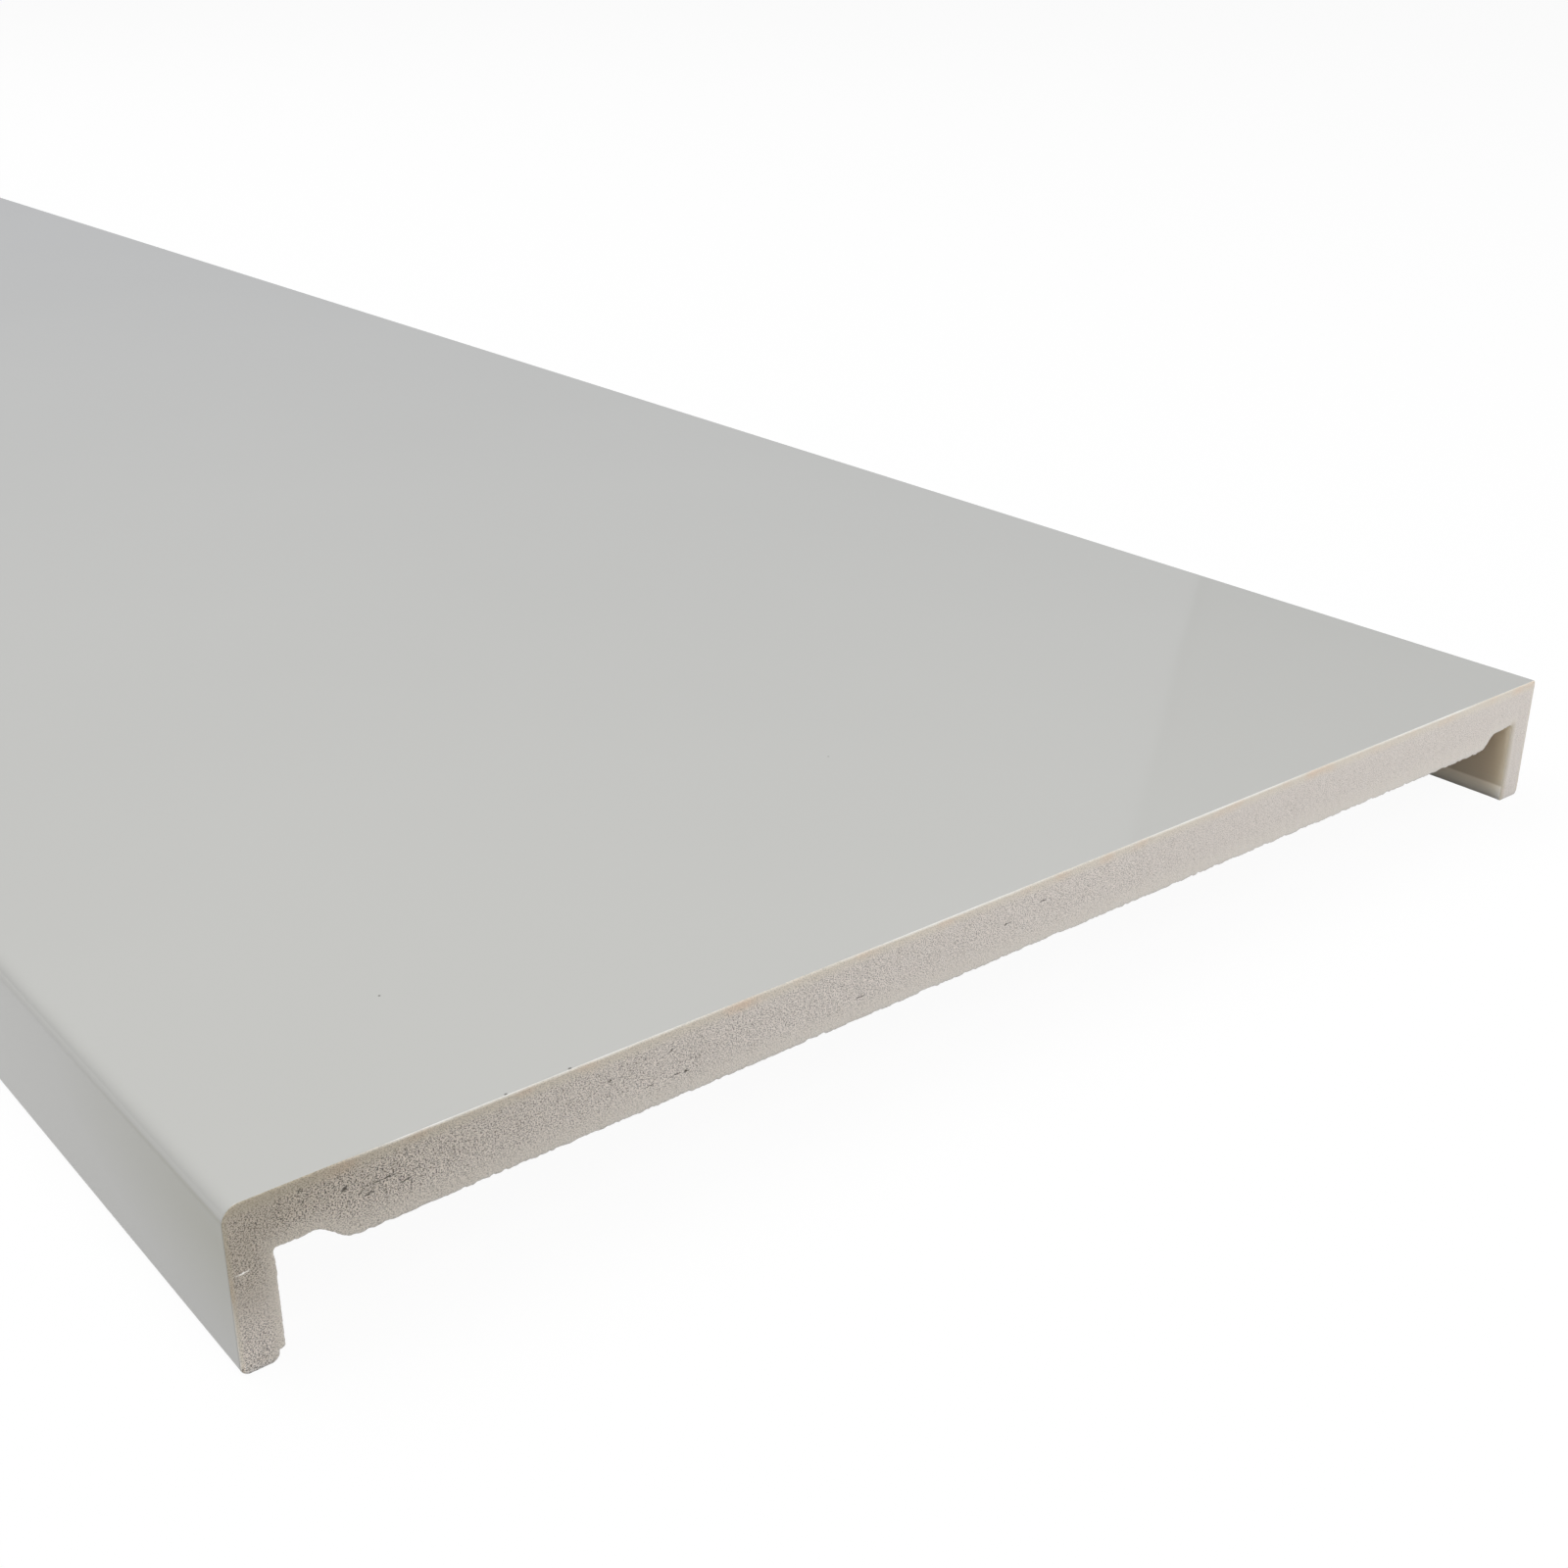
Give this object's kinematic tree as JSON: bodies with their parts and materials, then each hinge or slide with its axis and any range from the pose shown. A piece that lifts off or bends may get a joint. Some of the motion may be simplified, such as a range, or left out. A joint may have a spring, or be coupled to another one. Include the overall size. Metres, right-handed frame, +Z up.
{
  "type": "fascia board",
  "caption": "Double-ended fascia board: a flat foamed PVC board with a return leg along each long edge and a recess beside each leg for a soffit board.",
  "frame": {"origin": "on the floor under the middle of the board, which lies show face up on its two legs", "axes": "+X along the board's length, +Y across its width from one leg to the other, +Z up out of the show face"},
  "size_m": [2.5, 0.405, 0.036],
  "materials": {
    "pvc_skin": "satin light grey skin over an off-white foamed core"
  },
  "bodies": {
    "root": {"fascia_board": "pvc_skin"}
  },
  "joints": []
}
